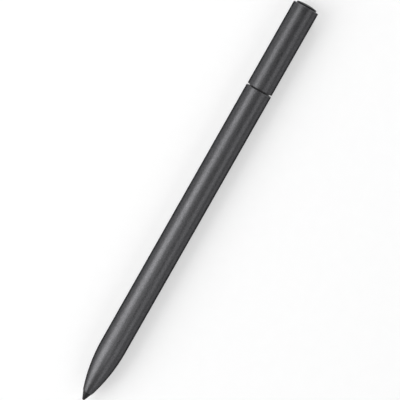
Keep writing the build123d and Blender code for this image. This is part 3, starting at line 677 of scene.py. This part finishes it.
def floor_finish(grey, glow):
    """Matt studio paper with a barely visible tooth.

    Part of it is plain white to the eye, in mirrors and through glass.
    """
    material, tree, surface, place = shader("studio_floor")
    tooth = grain(tree, place, size=0.004, detail=3.0)
    paper_tone = (grey, grey, grey)
    paint(tree, surface,
          tones(tree, tooth, (0.3, shade(paper_tone, 0.985)), (0.7, paper_tone)),
          spread(tree, tooth, low=0.85, high=0.95))
    surface.inputs["Specular IOR Level"].default_value = 0.0
    path = tree.nodes.new("ShaderNodeLightPath")
    seen = path.outputs["Is Camera Ray"]
    for ray in ("Is Glossy Ray", "Is Transmission Ray"):
        either = tree.nodes.new("ShaderNodeMath")
        either.operation = "MAXIMUM"
        tree.links.new(seen, either.inputs[0])
        tree.links.new(path.outputs[ray], either.inputs[1])
        seen = either.outputs["Value"]
    part = tree.nodes.new("ShaderNodeMath")
    part.operation = "MULTIPLY"
    part.inputs[1].default_value = glow
    tree.links.new(seen, part.inputs[0])
    paper = tree.nodes.new("ShaderNodeEmission")
    both = tree.nodes.new("ShaderNodeMixShader")
    tree.links.new(part.outputs["Value"], both.inputs["Fac"])
    tree.links.new(surface.outputs["BSDF"], both.inputs[1])
    tree.links.new(paper.outputs["Emission"], both.inputs[2])
    tree.links.new(both.outputs["Shader"], tree.nodes["Material Output"].inputs["Surface"])
    return material


class PEN_OT_barrel(bpy.types.Operator):
    """Barrel: tube with a long rounded nose and two slots for its buttons."""

    bl_idname = "pen.barrel"
    bl_label = "Barrel"

    def execute(self, context):
        sizes = context.scene.pen_sizes
        low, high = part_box("barrel")
        radius = high[1]
        bore = radius - sizes.barrel_wall
        mouth, rear = low[0], high[0]
        full = mouth + sizes.nose_length
        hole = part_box("nib")[1][1] + sizes.mouth_gap
        lip = hole + sizes.mouth_edge
        seat = mouth + sizes.mouth_depth
        # A third of the mouth's rim is bevelled, and the nose's first points give way to that bevel.
        bevel = sizes.mouth_edge / 3
        nose = [(x, height) for x, height in nose_arc(mouth, lip, full, radius, NOSE_STEPS)
                if x > mouth + 2 * bevel]
        lining = list(nose_arc(seat, sizes.nose_seat, full, bore, LINING_STEPS))
        lining.reverse()
        outline = [(mouth, hole), (mouth, lip - bevel), (mouth + bevel, lip), *nose,
                   *straight(full, rear - sizes.groove_edge, radius, SHELL_PITCH),
                   (rear, radius - sizes.groove_edge), (rear, bore),
                   *straight(rear, full, bore, BORE_PITCH), *lining[1:], (seat, hole)]
        piece = turned("barrel_shell", outline, True)
        long = sizes.button_length + 2 * sizes.slot_gap
        wide = sizes.button_width + 2 * sizes.slot_gap
        cut(piece, [slot_cutter(middle_of(node), BUTTON_ROLL, long, wide, 2 * radius) for node in BUTTONS])
        tone = context.scene.pen_colours.graphite
        settle(piece, "barrel", "graphite_metal", graphite_finish(tone), turned_edge_glint_finish(tone))
        # The groove chamfer and the mouth's bevel get the lighter edge finish, partly bare turned metal and
        # partly a painted glint.
        brighten_with_glints(piece, [(rear - sizes.groove_edge, rear), (mouth, mouth + bevel)])
        return {"FINISHED"}


class PEN_OT_nib(bpy.types.Operator):
    """Nib: rounded point, cone, neck and stem."""

    bl_idname = "pen.nib"
    bl_label = "Nib"

    def execute(self, context):
        sizes = context.scene.pen_sizes
        low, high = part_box("nib")
        tip, end = low[0], high[0]
        neck = high[1]
        stem = sizes.nib_stem
        slope = sizes.nib_slope
        ball = sizes.nib_point
        point = list(arc((tip + ball, 0), ball, math.pi, math.pi / 2 + slope, ROUND_STEPS))
        cone = point[-1][0] + (neck - point[-1][1]) / math.tan(slope)
        shoulder = cone + sizes.nib_neck
        outline = [(tip, 0), *point[1:], (cone, neck), *straight(cone, shoulder, neck, SHORT_PITCH),
                   (shoulder, stem), *straight(shoulder, end, stem, STEM_PITCH), (end, 0)]
        piece = turned("nib_tip", outline, False)
        settle(piece, "nib", "nib_plastic", nib_finish(context.scene.pen_colours.nib))
        return {"FINISHED"}


class PEN_OT_barrel_buttons(bpy.types.Operator):
    """Barrel buttons: round-ended keys with a flange under the barrel and a post to the switch."""

    bl_idname = "pen.barrel_buttons"
    bl_label = "Barrel buttons"

    def execute(self, context):
        sizes = context.scene.pen_sizes
        finish = made_finish("blasted_graphite")
        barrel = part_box("barrel")[1][1]
        under = barrel - sizes.barrel_wall - sizes.flange_gap
        top = barrel + sizes.button_rise
        half = (sizes.button_length - sizes.button_width) / 2
        wide = sizes.button_width / 2
        flange = wide + sizes.flange_overhang
        edge = sizes.button_edge
        # Layers from the post's foot to the face: half straight, radius of the round ends, height.
        layers = [
            (0, sizes.post_radius, level_at(sizes.post_height)),
            (0, sizes.post_radius, level_at(sizes.flange_height)),
            (half, flange, level_at(sizes.flange_height)),
            (half, flange, round_at(under)),
            (half, wide, round_at(under)),
        ]
        for step in range(EDGE_STEPS + 1):
            turn = math.pi / 2 * step / EDGE_STEPS
            inset = edge * (1 - math.cos(turn))
            drop = edge * (1 - math.sin(turn))
            layers.append((half, wide - inset, round_at(top, drop)))
        for part in FACE_RINGS:
            layers.append((half, (wide - edge) * part, round_at(top)))
        for node in BUTTONS:
            x = middle_of(node)
            bm = bmesh.new()
            rings = [[bm.verts.new(around(x, sizes.post_height, BUTTON_ROLL))]]
            for half_straight, radius, height in layers:
                rings.append([bm.verts.new(around(x + along, height(sideways), BUTTON_ROLL, sideways))
                              for along, sideways in slot_ring(half_straight, radius, KEY_STEPS)])
            skin(bm, rings)
            bm.faces.new(rings[-1])
            piece = piece_from(node.replace("button", "key"), bm)
            settle(piece, node, "graphite_metal", finish)
        return {"FINISHED"}


class PEN_OT_sleeve(bpy.types.Operator):
    """Sleeve: rear tube with a chamfered front, a rounded rim and a keyway inside."""

    bl_idname = "pen.sleeve"
    bl_label = "Sleeve"

    def execute(self, context):
        sizes = context.scene.pen_sizes
        low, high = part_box("sleeve")
        front, rim = low[0], high[0]
        radius = high[1]
        bore = radius - sizes.sleeve_wall
        bevel, roll_over = sizes.groove_edge, sizes.rim_round
        corner = list(arc((rim - roll_over, radius - roll_over), roll_over, math.pi / 2, 0, ROUND_STEPS))
        outline = [(front, bore), (front, radius - bevel), (front + bevel, radius),
                   *straight(front + bevel, rim - roll_over, radius, SHELL_PITCH), *corner[1:], (rim, bore),
                   *list(straight(rim, front, bore, SHELL_PITCH))[:-1]]
        piece = turned("sleeve_shell", outline, True)
        travel = TRAVEL["sleeve_slide"]
        wide = sizes.keyway_width
        keyway = slot_cutter(middle_of("detent_spring") - travel / 2, DETENT_ROLL, travel + wide, wide,
                             bore + sizes.keyway_depth)
        cut(piece, [keyway])
        settle(piece, "sleeve", "graphite_metal",
               made_finish("blasted_graphite"), made_finish("turned_graphite_glint"))
        # The front chamfer and the rounded rim get the lighter edge finish, partly bare turned metal and
        # partly a painted glint.
        brighten_with_glints(piece, [(front, front + bevel), (rim - roll_over, rim)])
        return {"FINISHED"}


class PEN_OT_tail_button(bpy.types.Operator):
    """Tail button: domed head with a rounded edge, and its grooved shank."""

    bl_idname = "pen.tail_button"
    bl_label = "Tail button"

    def execute(self, context):
        sizes = context.scene.pen_sizes
        low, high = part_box("tail_button")
        end, top = low[0], high[0]
        head = high[1]
        dome, edge, shank = sizes.head_dome, sizes.head_edge, sizes.shank_radius
        bend = (head ** 2 + dome ** 2) / (2 * dome)
        clip_low, clip_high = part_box("tail_clip")
        # The edge's rounding touches the dome from inside and the head's side.
        lean = math.asin((head - edge) / (bend - edge))
        middle = (top - bend + (bend - edge) * math.cos(lean), head - edge)
        crown = list(arc((top - bend, 0), bend, 0, lean, CROWN_STEPS))
        corner = list(arc(middle, edge, lean, math.pi / 2, ROUND_STEPS))
        foot = top - sizes.head_depth
        groove = shank - sizes.clip_depth
        outline = [(top, 0), *crown[1:], *corner[1:],
                   *straight(corner[-1][0], foot, head, SHORT_PITCH), (foot, shank),
                   (clip_high[0], shank), (clip_high[0], groove), (clip_low[0], groove), (clip_low[0], shank),
                   (end, shank), (end, 0)]
        piece = turned("tail_key", outline, False)
        settle(piece, "tail_button", "key_plastic", key_finish(context.scene.pen_colours.key))
        return {"FINISHED"}


class PEN_OT_springs(bpy.types.Operator):
    """Springs and pad: coils and a rubber cone that the nib and the tail button press together."""

    bl_idname = "pen.springs"
    bl_label = "Springs and pad"

    def execute(self, context):
        sizes = context.scene.pen_sizes
        steel = made_finish("drawn_steel")
        rubber = made_finish("dull_rubber")

        low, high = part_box("sensor_pad")
        edge = sizes.pad_edge
        corner = arc((low[0] + edge, sizes.pad_tip - edge), edge, math.pi, math.pi / 2, EDGE_STEPS)
        pad = turned("sensor_cone", [(low[0], 0), *corner, (high[0], high[1]), (high[0], 0)], False)
        settle(pad, "sensor_pad", "soft_rubber", rubber)
        press_together(pad)

        low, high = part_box("rod_spring")
        wire = sizes.rod_wire
        rod_coil = coil("rod_coil", low[0], high[0], high[1] - wire / 2, wire, sizes.rod_turns)
        settle(rod_coil, "rod_spring", "spring_steel", steel)
        press_together(rod_coil)

        low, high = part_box("tail_spring")
        wire = sizes.tail_wire
        tail_coil = coil("tail_coil", low[0], high[0], high[1] - wire / 2, wire, sizes.tail_turns)
        settle(tail_coil, "tail_spring", "spring_steel", steel)
        press_together(tail_coil)
        return {"FINISHED"}


class PEN_OT_mouldings(bpy.types.Operator):
    """Finishes the stem, the inner carriers, the switches and the rubber pieces."""

    bl_idname = "pen.mouldings"
    bl_label = "Mouldings and rubber"

    def execute(self, context):
        colours = context.scene.pen_colours
        dress(SLOT_NODES["black_plastic"], moulding_finish(colours.moulding))
        dress(SLOT_NODES["soft_rubber"], rubber_finish(colours.rubber))
        return {"FINISHED"}


class PEN_OT_metal_parts(bpy.types.Operator):
    """Finishes the springs, screws, drawn shells, pressure rod and contacts."""

    bl_idname = "pen.metal_parts"
    bl_label = "Steel and brass"

    def execute(self, context):
        colours = context.scene.pen_colours
        dress(SLOT_NODES["spring_steel"], steel_finish(colours.steel))
        dress(SLOT_NODES["brass"], brass_finish(colours.brass))
        return {"FINISHED"}


class PEN_OT_electronics(bpy.types.Operator):
    """Finishes the boards, flexible circuits, chips, cell and lamp."""

    bl_idname = "pen.electronics"
    bl_label = "Electronics"

    def execute(self, context):
        colours = context.scene.pen_colours
        dress(SLOT_NODES["board"], board_finish(colours.board))
        dress(SLOT_NODES["flex_film"], film_finish(colours.film))
        dress(SLOT_NODES["chip"], chip_finish(colours.chip))
        dress(SLOT_NODES["chip_ceramic"], ceramic_finish(colours.ceramic))
        dress(SLOT_NODES["battery_wrap"], wrap_finish(colours.wrap))
        dress(SLOT_NODES["light_plastic"], lamp_finish(colours.lamp))
        return {"FINISHED"}


def studio_floor(studio):
    """Round floor that curves up at its rim."""
    bm = bmesh.new()
    outline = [(reach, 0.0) for reach in (*FLOOR_RINGS, studio.floor_reach)]
    for step in range(1, RISE_STEPS + 1):
        turn = studio.floor_rise * step / RISE_STEPS
        outline.append((studio.floor_reach + studio.floor_bend * math.sin(turn),
                        studio.floor_bend * (1 - math.cos(turn))))
    rings = []
    for reach, height in outline:
        count = FLOOR_STEPS if reach else 1
        turns = [math.tau * step / count for step in range(count)]
        rings.append([bm.verts.new((reach * math.cos(turn), reach * math.sin(turn), height))
                      for turn in turns])
    skin(bm, rings)
    floor = piece_from("floor", bm)
    floor.data.materials.append(floor_finish(studio.floor_grey, studio.floor_glow))


def lamp(name, place, size, brightness, twist=0.0):
    """Soft rectangular lamp that faces the pen's middle, its first side along X or twisted from it."""
    light = bpy.data.lights.new(name, "AREA")
    light.shape = "RECTANGLE"
    light.size, light.size_y = size
    light.energy = brightness * math.pi * size[0] * size[1]
    body = bpy.data.objects.new(name, light)
    back = (place - Vector((0, 0, AXIS_HEIGHT))).normalized()
    along = (Vector((1, 0, 0)) - back * back.x).normalized()
    along.rotate(Quaternion(back, twist))
    up = back.cross(along)
    body.matrix_world = Matrix((along, up, back)).transposed().to_4x4()
    body.matrix_world.translation = place
    bpy.context.collection.objects.link(body)


def studio_lamps(studio):
    """Large lamps beside the pen, and small ones above its nib and behind its tail."""

    def beside(x, slant):
        return Vector((x, studio.lamp_reach * math.sin(slant), studio.lamp_reach * math.cos(slant)))

    lamp("key_lamp", place=beside(x=-0.33, slant=studio.key_slant), size=(0.94, 0.66),
         brightness=studio.key_level, twist=studio.key_twist)
    lamp("fill_lamp", place=beside(x=-0.1, slant=-studio.fill_slant), size=(1.5, 0.48),
         brightness=studio.fill_level)
    lamp("rear_lamp", place=beside(x=0.62, slant=studio.key_slant), size=(0.9, 0.6),
         brightness=studio.rear_level)
    lamp("front_lamp", place=Vector((-0.3, -0.03, 0.8)), size=(0.32, 0.4), brightness=studio.front_level)
    lamp("tail_lamp", place=Vector((0.68, 0.16, 0.44)), size=(0.25, 0.3), brightness=studio.tail_level)


def studio_sky(studio):
    """World whose brightness leans to one side."""
    world = bpy.data.worlds.new("studio")
    world.use_nodes = True
    tree = world.node_tree
    sky = tree.nodes["Background"]
    sky.inputs["Color"].default_value = (1.0, 1.0, 1.0, 1)
    lean = tree.nodes.new("ShaderNodeVectorMath")
    lean.operation = "DOT_PRODUCT"
    lean.inputs[1].default_value = studio.sky_lean
    tree.links.new(tree.nodes.new("ShaderNodeTexCoord").outputs["Generated"], lean.inputs[0])
    glow = tree.nodes.new("ShaderNodeMath")
    glow.operation = "MULTIPLY_ADD"
    glow.inputs[1].default_value = studio.sky_level
    glow.inputs[2].default_value = studio.sky_level
    tree.links.new(lean.outputs["Value"], glow.inputs[0])
    tree.links.new(glow.outputs["Value"], sky.inputs["Strength"])
    return world


def studio_camera(studio):
    """Camera above the pen, leaning towards the tail and turned in its picture."""
    data = bpy.data.cameras.new("camera")
    data.lens = studio.lens
    camera = bpy.data.objects.new("camera", data)
    tilt, turn = studio.view_tilt, studio.view_turn
    back = Vector((math.sin(tilt), 0, math.cos(tilt)))
    along = Vector((math.cos(tilt), 0, -math.sin(tilt)))
    rear = Vector((0, 1, 0))
    right = along * math.cos(turn) - rear * math.sin(turn)
    up = along * math.sin(turn) + rear * math.cos(turn)
    camera.matrix_world = Matrix((right, up, back)).transposed().to_4x4()
    aim = Vector((studio.view_along, -studio.view_aside, AXIS_HEIGHT))
    camera.matrix_world.translation = aim + back * studio.view_distance
    bpy.context.collection.objects.link(camera)
    return camera


class PEN_OT_stage(bpy.types.Operator):
    """Pale floor that curves up at its rim, soft lamps around the pen and the camera above it."""

    bl_idname = "pen.stage"
    bl_label = "Stage"

    def execute(self, context):
        scene = context.scene
        studio_floor(scene.pen_studio)
        studio_lamps(scene.pen_studio)
        scene.world = studio_sky(scene.pen_studio)
        scene.camera = studio_camera(scene.pen_studio)
        scene.view_settings.view_transform = "Standard"
        return {"FINISHED"}


class PEN_PT_sidebar(bpy.types.Panel):
    """Lists the pen's pieces, sizes, colours and studio."""

    bl_idname = "PEN_PT_sidebar"
    bl_label = "Stylus Pen"
    bl_space_type = "VIEW_3D"
    bl_region_type = "UI"
    bl_category = "Pen"

    def draw(self, context):
        layout = self.layout
        for operator in OPERATORS:
            layout.operator(operator.bl_idname)
        for group in (context.scene.pen_sizes, context.scene.pen_colours, context.scene.pen_studio):
            column = layout.column(align=True)
            for name in group.__annotations__:
                column.prop(group, name)


OPERATORS = (
    PEN_OT_barrel,
    PEN_OT_nib,
    PEN_OT_barrel_buttons,
    PEN_OT_sleeve,
    PEN_OT_tail_button,
    PEN_OT_mouldings,
    PEN_OT_metal_parts,
    PEN_OT_springs,
    PEN_OT_electronics,
    PEN_OT_stage,
)
GROUPS = (PenSizes, PenColours, PenStudio)


def register():
    for group in GROUPS + OPERATORS + (PEN_PT_sidebar,):
        bpy.utils.register_class(group)
    bpy.types.Scene.pen_sizes = PointerProperty(type=PenSizes)
    bpy.types.Scene.pen_colours = PointerProperty(type=PenColours)
    bpy.types.Scene.pen_studio = PointerProperty(type=PenStudio)


def unregister():
    del bpy.types.Scene.pen_sizes
    del bpy.types.Scene.pen_colours
    del bpy.types.Scene.pen_studio
    for group in reversed(GROUPS + OPERATORS + (PEN_PT_sidebar,)):
        bpy.utils.unregister_class(group)


def main():
    register()
    for operator in OPERATORS:
        family, name = operator.bl_idname.split(".")
        getattr(getattr(bpy.ops, family), name)()


if __name__ == "__main__":
    main()
